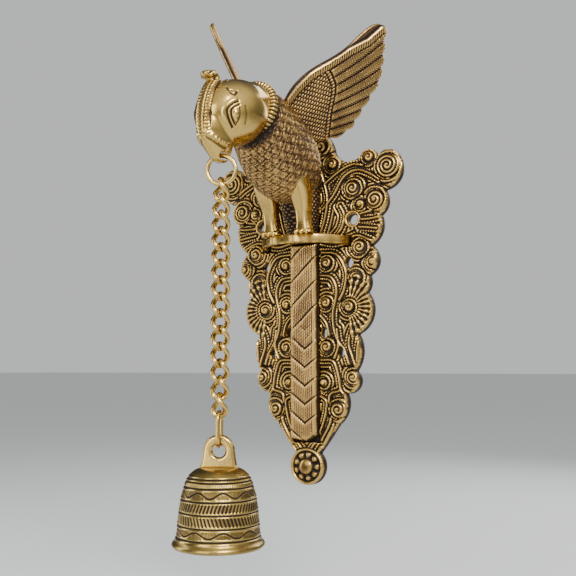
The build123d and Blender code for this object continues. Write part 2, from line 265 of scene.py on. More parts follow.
def relief_plate(loops, step, front, back, place, contrast=0.62, pits=()):
    """Closed plate over an outline: front and back are heights over the plane, as functions.

    place(x, y, height) gives points. Without back the plate ends flat at height 0, and pits
    are round sockets there: x, y, radius and depth.
    """
    low, high = loops[0].min(0) - 2 * step, loops[0].max(0) + 2 * step
    xs, ys = np.arange(low[0], high[0], step), np.arange(low[1], high[1], step)
    x, y = np.meshgrid(xs, ys, indexing="ij")
    distance, near_x, near_y = signed_distance(x, y, loops)
    middle = 0.25 * (distance[:-1, :-1] + distance[1:, :-1] + distance[:-1, 1:] + distance[1:, 1:])
    keep = middle < 0
    corners = [((di, 1 - di), (dj, 1 - dj)) for di in (0, 1) for dj in (0, 1)]
    used = sum(np.pad(keep.astype(int), corner) for corner in corners)
    edge = (used > 0) & (used < 4)
    x, y = np.where(edge, near_x, x), np.where(edge, near_y, y)
    inner = np.where(edge, 0, np.minimum(distance, 0))
    height = front(x, y, -inner)
    shade = height - blur(height, 3)
    index = np.full(x.shape, -1)
    index[used > 0] = np.arange((used > 0).sum())
    i, j = np.nonzero(keep)
    faces = np.stack([index[i, j], index[i + 1, j], index[i + 1, j + 1], index[i, j + 1]], 1)
    flat_x, flat_y = x[used > 0], y[used > 0]
    verts = place(flat_x, flat_y, height[used > 0])
    relief = 0.46 + contrast * shade[used > 0]
    count = len(verts)
    sides = open_edges(np.concatenate([faces[:, [k, (k + 1) % 4]] for k in range(4)]))
    faces = [tuple(f) for f in faces]
    if back is not None:
        behind = back(x, y, -inner)[used > 0]
        verts = np.vstack([verts, place(flat_x, flat_y, behind)])
        faces += [tuple(v + count for v in reversed(f)) for f in faces]
        faces += [(b, a, a + count, b + count) for a, b in sides]
        shade = behind - behind.mean()
        relief = np.append(relief, np.full(count, 0.62) + 0.2 * shade)
        return verts, faces, relief
    rim = sorted({v for pair in sides for v in pair})
    partner = {v: count + k for k, v in enumerate(rim)}
    verts = np.vstack([verts, place(flat_x[rim], flat_y[rim], np.zeros(len(rim)))])
    relief = np.append(relief, np.full(len(rim), 0.5))
    faces += [(b, a, partner[a], partner[b]) for a, b in sides]
    edit = bmesh.new()
    points = {v: edit.verts.new(verts[partner[v]]) for v in rim}
    edges = [edit.edges.new((points[a], points[b])) for a, b in sides]
    order = {points[v]: partner[v] for v in rim}
    turn = np.linspace(0, 2 * pi, PIT_SIDES, endpoint=False)
    for px, py, radius, depth in pits:
        mouth_at = len(verts)
        floor_at = mouth_at + PIT_SIDES
        ring_x, ring_y = px + radius * np.cos(turn), py + radius * np.sin(turn)
        mouth, floor = place(ring_x, ring_y, 0 * turn), place(ring_x, ring_y, depth + 0 * turn)
        middle = place(np.array([px]), np.array([py]), np.array([depth]))
        verts = np.vstack([verts, mouth, floor, middle])
        relief = np.append(relief, np.full(len(verts) - mouth_at, 0.3))
        around = [edit.verts.new(point) for point in mouth]
        for k in range(PIT_SIDES):
            after = (k + 1) % PIT_SIDES
            order[around[k]] = mouth_at + k
            edges.append(edit.edges.new((around[k], around[after])))
            faces.append((mouth_at + k, mouth_at + after, floor_at + after, floor_at + k))
            faces.append((floor_at + k, floor_at + after, floor_at + PIT_SIDES))
    filled = bmesh.ops.triangle_fill(edit, use_beauty=True, edges=edges)
    for face in filled["geom"]:
        if isinstance(face, bmesh.types.BMFace):
            faces.append(tuple(order[v] for v in face.verts))
    edit.free()
    return verts, faces, relief


# ---- materials
def ramp(tree, value, stops):
    """Colours along a value: the low end, the high end, then the stops between."""
    node = tree.nodes.new("ShaderNodeValToRGB")
    elements = node.color_ramp.elements
    for element, (position, colour) in zip(list(elements), stops):
        element.position = position
        element.color = (*colour, 1)
    for position, colour in stops[2:]:
        elements.new(position).color = (*colour, 1)
    tree.links.new(value, node.inputs[0])
    return node.outputs[0]


def brass(name, dark, middle, bright, rough, patina, grain=900.0, grain_depth=0.12, even=False):
    """Antique brass: brown patina in low relief, rubbed metal on high relief, cast grain all over.

    even is for smooth turned pieces, which are worn alike all over.
    """
    material = bpy.data.materials.new(name)
    material.use_nodes = True
    nodes, links = material.node_tree.nodes, material.node_tree.links
    shader = nodes["Principled BSDF"]
    relief = nodes.new("ShaderNodeAttribute")
    relief.attribute_name = "relief"
    place = nodes.new("ShaderNodeTexCoord")
    geometry = nodes.new("ShaderNodeNewGeometry")

    def noise(scale, detail):
        node = nodes.new("ShaderNodeTexNoise")
        node.inputs["Scale"].default_value = scale
        node.inputs["Detail"].default_value = detail
        links.new(place.outputs["Object"], node.inputs["Vector"])
        return node.outputs["Fac"]

    def combine(kind, a, b):
        node = nodes.new("ShaderNodeMath")
        node.operation = kind
        for socket, value in zip(node.inputs, (a, b)):
            if isinstance(value, (int, float)):
                socket.default_value = value
            else:
                links.new(value, socket)
        return node.outputs[0]

    def pushed(value, push, gain):
        """A value moved up or down by a push that is even at one half."""
        return combine("ADD", value, combine("MULTIPLY", combine("SUBTRACT", push, 0.5), gain))

    def graded(high, at_low, at_high):
        """From at_low in the patina to at_high on metal that stands high above it."""
        node = nodes.new("ShaderNodeMapRange")
        span = {"From Min": patina - 0.2, "From Max": patina + high, "To Min": at_low, "To Max": at_high}
        for socket, value in span.items():
            node.inputs[socket].default_value = value
        links.new(worn, node.inputs["Value"])
        return node.outputs[0]

    cloud, fine = noise(55, 6), noise(grain, 4)
    worn = pushed(0.75 if even else relief.outputs["Fac"], cloud, 0.55)
    worn = pushed(worn, geometry.outputs["Pointiness"], 2.2)
    worn = pushed(worn, fine, 0.25)
    stops = [(patina - 0.22, dark), (patina + 0.34, bright), (patina + 0.06, middle)]
    links.new(ramp(material.node_tree, worn, stops), shader.inputs["Base Color"])
    links.new(graded(0.12, 0.6, 1.0), shader.inputs["Metallic"])
    links.new(pushed(graded(0.3, 0.62, rough), cloud, 0.18), shader.inputs["Roughness"])
    bumps = nodes.new("ShaderNodeBump")
    bumps.inputs["Strength"].default_value = grain_depth
    bumps.inputs["Distance"].default_value = 0.0004
    links.new(fine, bumps.inputs["Height"])
    links.new(bumps.outputs[0], shader.inputs["Normal"])
    return material


PATINA = (0.012, 0.007, 0.004)
DARK = (0.03, 0.018, 0.006)
BROWN = (0.13, 0.075, 0.024)
FEATHER_BROWN = (0.16, 0.086, 0.038)
BELL_BROWN = (0.15, 0.095, 0.026)
TAN = (0.26, 0.16, 0.04)
GOLD = (0.62, 0.42, 0.12)
# name, recesses, middle tone, high spots, roughness, patina level, then the grain's scale and depth
antique = brass("antique_cast_brass", PATINA, BROWN, (0.57, 0.37, 0.105), 0.28, 0.52)
feathered = brass("antique_feather_brass", PATINA, FEATHER_BROWN, (0.56, 0.36, 0.12), 0.3, 0.5)
polished = brass("hand_polished_brass", (0.025, 0.014, 0.005), TAN, GOLD, 0.19, 0.40, 700, 0.05)
wire_brass = brass("drawn_wire_brass", DARK, (0.28, 0.18, 0.05), (0.60, 0.42, 0.13), 0.17, 0.40, 600, 0.03)
bell_brass = brass("turned_bell_brass", PATINA, BELL_BROWN, (0.48, 0.34, 0.10), 0.2, 0.54, 800, 0.04)
plain_brass = brass(
    "plain_turned_brass", PATINA, (0.25, 0.16, 0.045), (0.58, 0.4, 0.12), 0.2, 0.38, 700, 0.04, even=True
)


# ---- back plate
PLATE_BASE = 4.0
RIB_PITCH = 2.5
WALL_HOLE_X = 36.0
BOSS_Z = -170.5
TAIL_HALF_WIDE = 10.4
TAIL_LOW = node_box("tail_plank")[0][2]
SCREW_R = 4.05

# Scroll eyes of the right half: x, z, radius and winding direction
VOLUTES = [
    (62.5, 34.5, 9.0, 1), (48.5, 42, 4.6, 1), (53, 12, 7.0, -1), (36.5, 21.5, 5.6, 1),
    (42, 9.5, 4.2, -1), (12, 54, 5.5, -1), (21, 40, 4.6, 1), (41.5, -20, 5.4, 1),
    (51, -31, 5.2, -1), (16, -29.5, 4.5, 1), (38.5, -41.5, 5.2, -1), (33, -61, 4.6, 1),
    (15.5, -57.5, 4.5, 1), (15.8, -88, 5.2, 1), (36, -109, 5.6, 1), (24.5, -131, 6.4, 1),
    (13.5, -113, 3.6, -1),
]

# Plumes of ribbed strands between the eyes: each is a line of x, z points the strands run along
PLUMES = [
    [(13, 8), (22, 18), (30, 30), (40, 34), (50, 30), (56, 26)],
    [(14, 26), (26, 34), (36, 38), (44, 37)],
    [(10, 40), (14, 30), (17, 16), (15, 2), (11, -10)],
    [(27, 10), (30, 3), (28, -6), (22, -13)],
    [(42, 3), (48, 4), (56, 6)], [(42, -1), (50, -1), (57, 0)], [(41, -6), (48, -7), (54, -8)],
    [(12, -14), (22, -16), (32, -14), (40, -12), (50, -16)],
    [(12, -22), (24, -24), (31, -36), (30, -48), (26, -56)],
    [(11, -38), (20, -40), (24, -50), (21, -66), (23, -80), (30, -92), (33, -100)],
    [(11, -66), (16, -72), (18, -80)], [(43, -72), (36, -76), (33, -86), (36, -96), (38, -102)],
    [(41, -80), (39.5, -90), (39, -98)], [(11, -97), (21, -98), (25, -108), (27, -118), (32, -122)],
    [(22, -96), (25, -88), (24, -76)], [(11, -122), (16, -126), (14, -138), (9, -150), (4, -158)],
    [(26, -118), (18, -122), (19, -138), (12, -152)],
]
FAN = (33.0, -61.0)
FAN_START = 7.2
RIM_HEIGHT = 2.4


def strokes_near(ax, z):
    """The scroll eye or plume strand nearest to each point of the right half.

    Gives the distance to it and to the next one, the eye's radius, the angle round it and its
    way of winding (radius and winding are 0 on a strand), and the way along the strand.
    """
    nearest, second = np.full(ax.shape, FAR), np.full(ax.shape, FAR)
    radius, theta, turn, run = (np.zeros(ax.shape) for _ in range(4))
    for cx, cz, r, way in VOLUTES:
        gap = np.hypot(ax - cx, z - cz) - r
        closer = gap < nearest
        second = np.where(closer, nearest, np.minimum(second, gap))
        nearest = np.where(closer, gap, nearest)
        radius = np.where(closer, r, radius)
        theta = np.where(closer, np.arctan2(z - cz, ax - cx), theta)
        turn = np.where(closer, way, turn)
    for plume in PLUMES:
        line = smooth_curve(plume, 9 * len(plume))
        lengths = np.append(0, np.cumsum(np.hypot(*np.diff(line, axis=0).T)))
        for (ax0, az0), (ax1, az1), start in zip(line[:-1], line[1:], lengths):
            dx, dz = ax1 - ax0, az1 - az0
            t = np.clip(((ax - ax0) * dx + (z - az0) * dz) / (dx * dx + dz * dz), 0, 1)
            gap = np.hypot(ax - ax0 - t * dx, z - az0 - t * dz)
            closer = gap < nearest
            second = np.where(closer & (radius > 0), nearest, second)
            nearest = np.where(closer, gap, nearest)
            radius = np.where(closer, 0, radius)
            turn = np.where(closer, 0, turn)
            run = np.where(closer, start + t * np.hypot(dx, dz), run)
    return nearest, second, radius, theta, turn, run


def scroll_height(ax, z):
    """Ribs that wrap round each scroll eye and run along the plumes, and the coiled eyes."""
    nearest, second, radius, theta, turn, run = strokes_near(ax, z)
    phase = nearest / RIB_PITCH + turn * theta / (2 * pi) + 0.5 * (radius > 0)
    rib = wave(phase) ** 0.7
    bead_row = np.mod(np.floor(phase + 0.5), 3) == 1
    along = np.where(radius > 0, theta * (radius + nearest), run)
    beads = wave(along / 1.9 + turn * phase * 0.5)
    rib = np.where(bead_row, rib * (0.55 + 0.45 * beads), rib)
    swell = 1.9 * np.exp(-np.clip(nearest, 0, None) / 4.0)
    seam = np.clip((second - nearest) / 1.6, 0, 1)
    band = PLATE_BASE - 0.6 + (0.8 + swell) * (0.4 + 0.6 * seam) + 2.1 * rib * (0.3 + 0.7 * seam)
    # the eyes: a domed coil with a bead in the middle
    r = np.clip(nearest + radius, 0, None)
    coil = wave(r / 2.7 - turn * theta / (2 * pi)) ** 0.7
    dome = 2.4 * np.sqrt(np.clip(1 - (r / (radius + 0.6)) ** 2, 0, 1)) ** 0.7
    moat = 1.6 * bump(nearest + 0.2, 0.8)
    eye = PLATE_BASE + 0.6 + dome + 1.6 * coil + 1.4 * bump(r, 1.5) - moat
    return np.where(nearest < 0, eye, band)


def half_round(offset, half_wide):
    """A round ridge of height 1 along offset 0, and 0 beyond its half width."""
    return np.sqrt(np.clip(1 - (offset / half_wide) ** 2, 0, 1))


def plate_front(x, z, inner):
    """Height of the cast relief over the wall face; inner is the distance in from the edge."""
    ax = np.abs(x)
    height = scroll_height(ax, z)
    # shell fan at the widest scallop
    fx, fz = ax - FAN[0], z - FAN[1]
    reach, spread = np.hypot(fx, fz), np.arctan2(fz, fx)
    in_fan = (reach > FAN_START) & (np.abs(spread) < radians(88)) & (reach < 21)
    rays = wave(spread * 13 / pi) ** 0.6
    shell = PLATE_BASE + 1.3 + 1.8 * rays + 0.9 * wave((reach - FAN_START) / 5.2)
    height = np.where(in_fan, shell, height)
    # wall-screw eyelets with a plain ring round them
    hole = np.hypot(ax - WALL_HOLE_X, z)
    height = np.where(hole < 6.4, PLATE_BASE + 0.8 + 2.2 * half_round(hole - 4.9, 1.6), height)
    # rounded edges along the whole outline
    shoulder = half_round(1 - np.clip(inner / 1.7, 0, 1), 1)
    height = RIM_HEIGHT + (height - RIM_HEIGHT) * shoulder
    # boss at the foot: polished dome, ring of petals, round rim
    b, turn_b = np.hypot(x, z - BOSS_Z), np.arctan2(z - BOSS_Z, x)
    petals = PLATE_BASE + 1.0 + 2.6 * np.abs(np.cos(turn_b * 4.5)) ** 0.7 * bump(b - 8.0, 2.4)
    petals += bump(b - 6.2, 0.5)
    dome = PLATE_BASE + 2.6 + 3.4 * half_round(b, 5.6)
    rim = PLATE_BASE + 0.5 + 2.6 * half_round(b - 11.7, 1.4)
    boss = np.where(b < 5.6, dome, np.where(b < 10.5, petals, rim))
    height = np.where(b < 13.2, boss, height)
    # flat seats under the tail, the rump and the perch ends
    under_tail = (ax < TAIL_HALF_WIDE + 0.3) & (z > TAIL_LOW - 1) & (z < 47)
    under_perch = (np.abs(ax - 32.6) < 3.4) & (np.abs(z + 15) < 4.2)
    height = np.where(under_tail | under_perch, PLATE_BASE - 0.1, height)
    return np.where(inner <= 0, 2.2, height)


def screw_heights(points):
    """Heights of the screws, from the clusters their points make along z."""
    z = np.sort(points[:, 2])
    groups = np.split(z, np.nonzero(np.diff(z) > SCREW_R)[0] + 1)
    return [float((group[0] + group[-1]) / 2) for group in groups]


def build_plate():
    loops = wall_loops("back_plate")
    # the screw holes on the middle line end behind the bird and the tail
    loops = [loop for loop in loops if abs(loop.mean(0)[0]) > 1 or np.ptp(loop[:, 0]) > 4 * SCREW_R]
    screws = vectors(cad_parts["rear_screws"].data) / MM
    pits = [(0.0, z, SCREW_R, 2.2) for z in screw_heights(screws)]
    verts, faces, relief = relief_plate(loops, 0.55, plate_front, None, on_wall, pits=pits)
    add_piece("scroll_plate", verts, faces, "bracket", antique, relief, ["back_plate"])


build_plate()


# ---- wings
WING_THICK = 3.2
FEATHER_WIDE = 6.4
LEADING_S = (-4, 0.5, 7.4, 20.5, 36, 52, 68, 81, 84)
LEADING_C = (1, 0, -2.8, -5.5, -4.4, -3.8, -1.5, -3, -2)
STRIP_C = (-6, 4, 12, 17, 22, 30, 45, 53)
STRIP_S = (30, 32.8, 33, 31.2, 28, 22.5, 15.2, 13)


def feather_phase(s, c):
    """Feather number across the wing, and the distance out along it."""
    fan_s, fan_c = s + 120.0, c + 8.0 + 0.0020 * np.clip(s - 30, 0, None) ** 2
    return np.degrees(np.arctan2(fan_c, fan_s)) / 2.25 + 0.3, np.hypot(fan_s, fan_c)


def scalloped(loop, depth=1.9):
    """The wing's outline with a notch between feathers along the trailing edge."""
    fine = []
    for a, b in zip(loop, np.roll(loop, -1, 0)):
        count = max(1, int(np.linalg.norm(b - a) / 0.5))
        fine.append(a + (b - a) * np.arange(count)[:, None] / count)
    fine = np.vstack(fine)
    along = np.roll(fine, -1, 0) - np.roll(fine, 1, 0)
    along /= np.linalg.norm(along, axis=1, keepdims=True) + 1e-9
    turning = np.sum(fine[:, 0] * np.roll(fine[:, 1], -1) - fine[:, 1] * np.roll(fine[:, 0], -1))
    inward = np.stack([-along[:, 1], along[:, 0]], 1) * np.sign(turning)
    s, c = fine[:, 0], fine[:, 1]
    feather, _ = feather_phase(s, c)
    part = feather - np.floor(feather) - 0.5
    trailing = (s > np.interp(c, STRIP_C, STRIP_S) + 3) & (c > 3)
    return fine + inward * (trailing * depth * np.abs(2 * part) ** 2.5)[:, None]


def wing_pattern(s, c, inner):
    """Feather relief over a wing: s runs from shoulder to tip, c from leading to trailing edge."""
    border = c - np.interp(s, LEADING_S, LEADING_C)
    feather, reach = feather_phase(s, c)
    part = feather - np.floor(feather) - 0.5
    # long feathers fan out past the bead strip
    vane = 1.5 - 5.6 * part**2 - 0.8 * part
    barbs = wave((reach - np.abs(part) * FEATHER_WIDE * 1.3) / 1.9)
    long_ones = 0.8 * vane + 0.75 * barbs * (np.abs(part) > 0.08) + 0.5 * bump(part * FEATHER_WIDE, 0.5)
    strip = 0.85 * (s - np.interp(c, STRIP_C, STRIP_S))
    # small dashes on the shoulder
    row = c / 2 + s / 8
    dash = wave(row) ** 0.8 * (0.35 + 0.65 * wave(s / 3.1 + 0.5 * np.floor(row + 0.5)))
    height = np.where(strip > 0, long_ones, 0.1 + 1.25 * dash)
    beads = 0.1 + 1.5 * bump(strip, 1.2) * (0.35 + 0.65 * wave(c / 2.2))
    height = np.where(np.abs(strip) < 1.9, beads, height)
    ribs = 0.35 + 0.65 * wave((s + 0.6 * border) / 2.0) ** 0.7
    roll = half_round(border - 2.9, 2.9)
    height = np.where(border < 5.8, 0.1 + 2.2 * roll * np.where(border > 1.6, ribs, 1.0), height)
    return height * np.clip(inner / 0.9, 0, 1)


def build_wing(name, shoulder, tip, rear):
    shoulder, tip, rear = (np.array(p, float) for p in (shoulder, tip, rear))
    span = unit(tip - shoulder)
    normal = unit(np.cross(span, rear - shoulder))
    chord = np.cross(normal, span)
    loops = [scalloped(flat_loops(name, shoulder, span, chord)[0])]
    # the patterned face looks outwards and forwards, away from the bird's back
    face = -normal if name == "right_wing" else normal

    def camber(s, c):
        return -2.2 * (np.clip(s, 0, 85) / 85) ** 2 + np.sin(pi * np.clip(c, -4, 52) / 52)

    def place(s, c, height):
        base = shoulder + s[:, None] * span + c[:, None] * chord
        return base + (camber(s, c) + height)[:, None] * face

    def front(s, c, inner):
        return WING_THICK / 2 - 0.9 + wing_pattern(s, c, inner)

    def back(s, c, inner):
        return -WING_THICK / 2 + 0.5 - 0.35 * np.clip(inner / 2, 0, 1)

    verts, faces, relief = relief_plate(loops, 0.45, front, back, place, contrast=0.85)
    relief += 0.1
    add_piece("feathered_" + name, verts, faces, "bracket", feathered, relief, [name])


build_wing("right_wing", (15, -61, 75), (69, -20, 125), (26, -8, 59))
build_wing("left_wing", (-15, -61, 75), (-56, -44, 139), (-25, -9, 60))


# ---- body, rump and legs
BODY_START = np.array([0, -14.0, 24.0])
COLLAR_CENTRE = np.array([0, -83.0, 61.0])
COLLAR_TILT = 12.0
COLLAR_R = 17.2
BEAD_R = 3.2
LEG_X = 12.7
TOE_RADII = (1.2, 1.5, 1.5, 1.45, 1.4, 1.3, 1.3, 1.35, 1.4, 1.4, 1.3, 1.1, 0.8, 0.4)
BODY_SECTIONS = [  # share, half width, half depth, lean in degrees
    (-0.04, 9, 9, 32), (0.05, 15, 16.5, 32), (0.22, 21, 25, 30), (0.42, 23, 28.5, 28),
    (0.62, 22.5, 27, 24), (0.82, 19.5, 23.5, 18), (1.0, 16.5, 19.5, COLLAR_TILT),
]


def scales(along, around, pitch=6.0):
    """Overlapping scales that point back along the body."""
    row = np.floor(along / pitch)
    best = np.zeros(along.shape)
    for shift in (0, 1, 2):
        line = row + shift
        cell = around / pitch + 0.5 * np.mod(line, 2)
        off = (cell - np.round(cell)) * pitch
        drop = line * pitch - along + 0.25 * pitch
        far = np.hypot(off, drop)
        inside = far < pitch * 0.72
        tilt = 0.35 + 0.65 * np.clip(1 - far / (pitch * 0.72), 0, 1) ** 0.5
        stroke = 0.25 * wave(np.arctan2(off, drop + 3) * 6)
        rim = 0.35 * bump(far - pitch * 0.62, 0.32)
        best = np.where(inside & (best < 0.01), tilt + stroke * inside + rim, best)
    return best


def build_body():
    table = smooth_curve(BODY_SECTIONS, 240)
    line = COLLAR_CENTRE - BODY_START
    centres = BODY_START + table[:, :1] * line
    lean = np.radians(table[:, 3])
    sideways = np.outer(table[:, 1], X_AXIS)
    upwards = np.stack([0 * lean, np.sin(lean), np.cos(lean)], 1) * table[:, 2:3]

    def lift(along, angle):
        s = along * 84.0
        a = (np.mod(angle + pi, 2 * pi) - pi) * 24.0
        rough = 0.25 * np.sin(s * 1.7 + a * 0.6) * np.sin(a * 1.3 - s * 0.4)
        return (2.3 * scales(s, a) + rough) * np.clip((1.02 - along) * 8, 0, 1) - 1.4

    verts, faces, raised = tube(centres, sideways, upwards, 300, lift=lift)
    relief = 1.242 * np.clip((raised + 1.4) / 2.7, 0, 1) ** 1.25 - 0.31
    add_piece("scaled_body", verts, faces, "bracket", feathered, relief, ["parrot_body"])


def build_rump():
    """The stippled column from the bird's belly down to the plate."""
    share = np.linspace(0, 1, 90)
    path = smooth_curve([(0, -24, 46), (0, -17, 24), (0, -13.5, 4), (0, -9.4, -15.6)], 90)
    u = np.outer(np.interp(share, [0, 0.3, 0.6, 1], [18, 16, 13.5, 9.2]), X_AXIS)
    v = np.outer(np.interp(share, [0, 0.4, 1], [14, 10.5, 4.8]), Y_AXIS)

    def lift(along, angle):
        rows = along * 30
        return 1.1 * wave(rows) * wave(angle * 17 / (2 * pi) + 0.5 * np.floor(rows + 0.5)) - 0.5

    verts, faces, raised = tube(path, u, v, 200, 0.7, lift=lift)
    add_piece("rump", verts, faces, "bracket", feathered, 0.2 + 0.5 * (raised + 0.5))


def build_leg(side):
    """A smooth faceted leg, waisted at the middle, with bead claws on the perch."""
    x = side * LEG_X
    name = "right_leg" if side > 0 else "left_leg"
    joints = [
        (x * 0.8, -47, 38), (x + side * 0.4, -40.5, 19), (x, -35.4, 7),
        (x, -33.5, -1), (x, -32.8, -8), (x, -32.8, -11.8),
    ]
    share, stations = np.linspace(0, 1, 60), [0, 0.22, 0.5, 0.7, 0.88, 1]
    u = np.outer(np.interp(share, stations, [8.6, 7.0, 4.9, 4.9, 5.9, 6.4]), X_AXIS)
    v = np.outer(np.interp(share, stations, [8, 8.2, 5.4, 4.4, 4.4, 4.4]), Y_AXIS)
    verts, faces, _ = tube(smooth_curve(joints, 60), u, v, 40, 0.62)
    add_piece(name, verts, faces, "bracket", polished, 0.72)
    size = np.array(TOE_RADII)[:, None]
    for toe in (-1, 0, 1):
        bends = np.array([(0, 0, 0), (0, -2.0, 0.2), (0, -3.4, -1.0), (0, -4.0, -3.2)])
        path = smooth_curve((x + toe * 4.0, -34.0, -10.2) + bends, len(size))
        ahead = directions(path)
        verts, faces, _ = tube(path, size * X_AXIS, np.cross(ahead, X_AXIS) * size, 14)
        add_piece(f"{name}_toe_{toe + 2}", verts, faces, "bracket", polished, 0.75)


build_body()
build_rump()
build_leg(1)
build_leg(-1)


# ---- collar
def build_collar():
    """Rope of slanting beads between body and head."""
    turn = np.linspace(0, 2 * pi, 420, endpoint=False)
    tilt = radians(COLLAR_TILT)
    up = np.array([0, sin(tilt), cos(tilt)])
    normal = np.array([0, -cos(tilt), sin(tilt)])
    radial = np.outer(np.cos(turn), X_AXIS) + np.outer(np.sin(turn), up)
    centres = COLLAR_CENTRE + COLLAR_R * radial
    halves = BEAD_R * radial, np.tile(BEAD_R * normal, (len(turn), 1))

    def lift(along, angle):
        return wave(along * 46 + 0.12 * np.sin(angle)) ** 0.6 - 0.85

    verts, faces, raised = tube(centres, *halves, 28, closed=True, lift=lift)
    relief = 0.05 + 0.7 * (raised + 0.85)
    add_piece("bead_collar", verts, faces, "bracket", polished, relief, ["neck_collar"])


build_collar()


# ---- head
HEAD_YAW = 11.0
HEAD_DROP = 20.0
FACING = np.array([-sin(radians(HEAD_YAW)), -cos(radians(HEAD_YAW)), 0])
ACROSS = np.array([cos(radians(HEAD_YAW)), -sin(radians(HEAD_YAW)), 0])
NECK_FRONT = np.array([0, -84.0, 0])
HEAD_MIDDLE = np.array([-3.5, -103.0, 54.0])
HEAD_R = 20.5
CREST = [(33, 74.5), (38.8, 67), (42.8, 57), (44.2, 46), (43.2, 38), (41.0, 33)]
BILL = [  # height, back, front, half width
    (52, 16, 40, 10.5), (46, 16, 42, 10.2), (40, 16.5, 42.4, 9.4), (36, 17, 41.4, 8.6),
    (32, 17.5, 39.2, 7.6), (28, 18.4, 36.2, 5.8), (25, 19.4, 33.5, 4.6), (22.8, 21, 31, 3.4),
    (21.6, 24, 28.5, 2.0),
]
SKULL = [  # distance from the collar, radius
    (-3, 17.6), (2, 18.2), (10, 20.2), (20, 20.5), (31, 17.9), (39, 11.5), (43.2, 5), (44, 0.2),
]
MOUTH_BAR = [(41, 36.5), (35, 33.2), (30, 31.6), (27, 31.2)]
FACE_LINES = [  # degrees round from the bill and degrees up, then height and half width
    ([(62, 6), (52, 0), (43, -10), (46, -27), (54, -41)], -0.95, 0.62),
    ([(64, 0), (52, -8), (51, -21), (58, -34)], -0.9, 0.5),
    ([(66, -6), (67, -20), (61, -36)], -0.7, 0.42),
    ([(41, 35), (45, 27), (52, 27)], -0.6, 0.55),
    ([(48, 22), (56, 18), (62, 26)], -0.75, 0.6),
    ([(77, -2), (81, -14), (82, -30)], -0.3, 0.8),
    ([(59, -15), (58.5, -20), (60, -27)], 0.75, 1.1),
    ([(58, 10), (46, 1), (37, -12), (40, -28)], 0.4, 1.2),
    ([(59.5, -20), (59.5, -21)], -0.7, 0.45),
]


def head_point(forward, height, across=0.0):
    return NECK_FRONT + forward * FACING + height * UP + across * ACROSS


def head_line(curve, count):
    """A smooth line in the head's middle plane, from forward and height values."""
    return np.array([head_point(f, z) for f, z in smooth_curve(curve, count)])


def head_shapes():
    """The skull, crest strip, bill and crest knob, before they are fused."""
    drop = radians(HEAD_DROP)
    ahead = FACING * cos(drop) - UP * sin(drop)
    above = FACING * sin(drop) + UP * cos(drop)
    profile = smooth_curve(SKULL, 70)
    out = profile[:, 1:]
    skull = tube(COLLAR_CENTRE + profile[:, :1] * ahead, out * ACROSS, out * above, 90)
    strip = head_line(CREST, 80)
    outward = np.cross(directions(strip), ACROSS)
    outward *= np.sign((outward * (strip - HEAD_MIDDLE)).sum(1))[:, None]
    share = np.linspace(0, 1, 80)
    wide = np.interp(share, [0, 0.12, 0.6, 1], [4.8, 4.6, 4.8, 3.2])[:, None]
    deep = np.interp(share, [0, 0.15, 0.6, 1], [3.6, 5.4, 6.2, 5.6])[:, None]
    crest = tube(strip - deep * outward, ACROSS * wide, outward * deep, 48, 0.6)
    rows = smooth_curve(BILL, 60)
    middles = np.array([head_point((back + front) / 2, z) for z, back, front, _ in rows])
    half_long = (rows[:, 2:3] - rows[:, 1:2]) / 2
    bill = tube(middles, FACING * half_long, ACROSS * rows[:, 3:4], 60, 0.9)
    t = np.linspace(-1, 1, 24)[:, None]
    swell = np.sqrt(np.clip(1 - t**2, 0.001, 1))
    knob = tube(head_point(35.4, 74.0) + t * 2.7 * UP, ACROSS * 5.4 * swell, FACING * 6.0 * swell, 36)
    return [skull, crest, bill, knob]


def joined(shapes, name):
    """One piece of several closed shapes."""
    verts, faces, base = [], [], 0
    for shape_verts, shape_faces, _ in shapes:
        verts.append(shape_verts)
        faces += [tuple(k + base for k in face) for face in shape_faces]
        base += len(shape_verts)
    return linked_piece(name, np.vstack(verts), faces)


def add_voxels(piece, size):
    remesh = piece.modifiers.new("voxels", "REMESH")
    remesh.mode = "VOXEL"
    remesh.voxel_size = size * MM


def bake(piece):
    """Apply the piece's modifiers to its mesh."""
    tree = bpy.context.evaluated_depsgraph_get()
    mesh = bpy.data.meshes.new_from_object(piece.evaluated_get(tree))
    piece.modifiers.clear()
    piece.data = mesh


def cast_head():
    """The fused head, with the ring's slot cut through the bill."""
    piece = joined(head_shapes(), "parrot_head_cast")
    ends = [head_point(24.9, 25.6, across) for across in (-30, 30)]
    slot = tube(ends, np.tile(FACING * 5.2, (2, 1)), np.tile(UP * 2.5, (2, 1)), 40, 0.8)
    cutter = joined([slot], "slot_cutter")
    add_voxels(piece, 0.45)
    bake(piece)
    cut = piece.modifiers.new("slot", "BOOLEAN")
    cut.operation = "DIFFERENCE"
    cut.solver = "MANIFOLD"
    cut.object = cutter
    add_voxels(piece, 0.42)
    piece.modifiers.new("soften", "SMOOTH").iterations = 12
    bake(piece)
    bpy.data.objects.remove(cutter)
    return piece


def face_engraving(points, lateral):
    """Cut lines and raised lids round both eyes, drawn by direction from the head's middle."""
    off = points - HEAD_MIDDLE
    round_ = np.degrees(np.arctan2(off @ ACROSS, off @ FACING))
    up = np.degrees(np.arctan2(off @ UP, np.hypot(off @ ACROSS, off @ FACING)))
    lift = np.zeros(len(points))
    for curve, height, half_wide in FACE_LINES:
        gap = np.full(len(points), FAR)
        for a, b in smooth_curve(curve, 40):
            gap = np.minimum(gap, np.hypot((np.abs(round_) - a) * cos(radians(b)), up - b))
        lift += height * bump(np.radians(gap) * HEAD_R, half_wide)
    return lift * np.clip(np.abs(lateral) - 4.5, 0, 1)


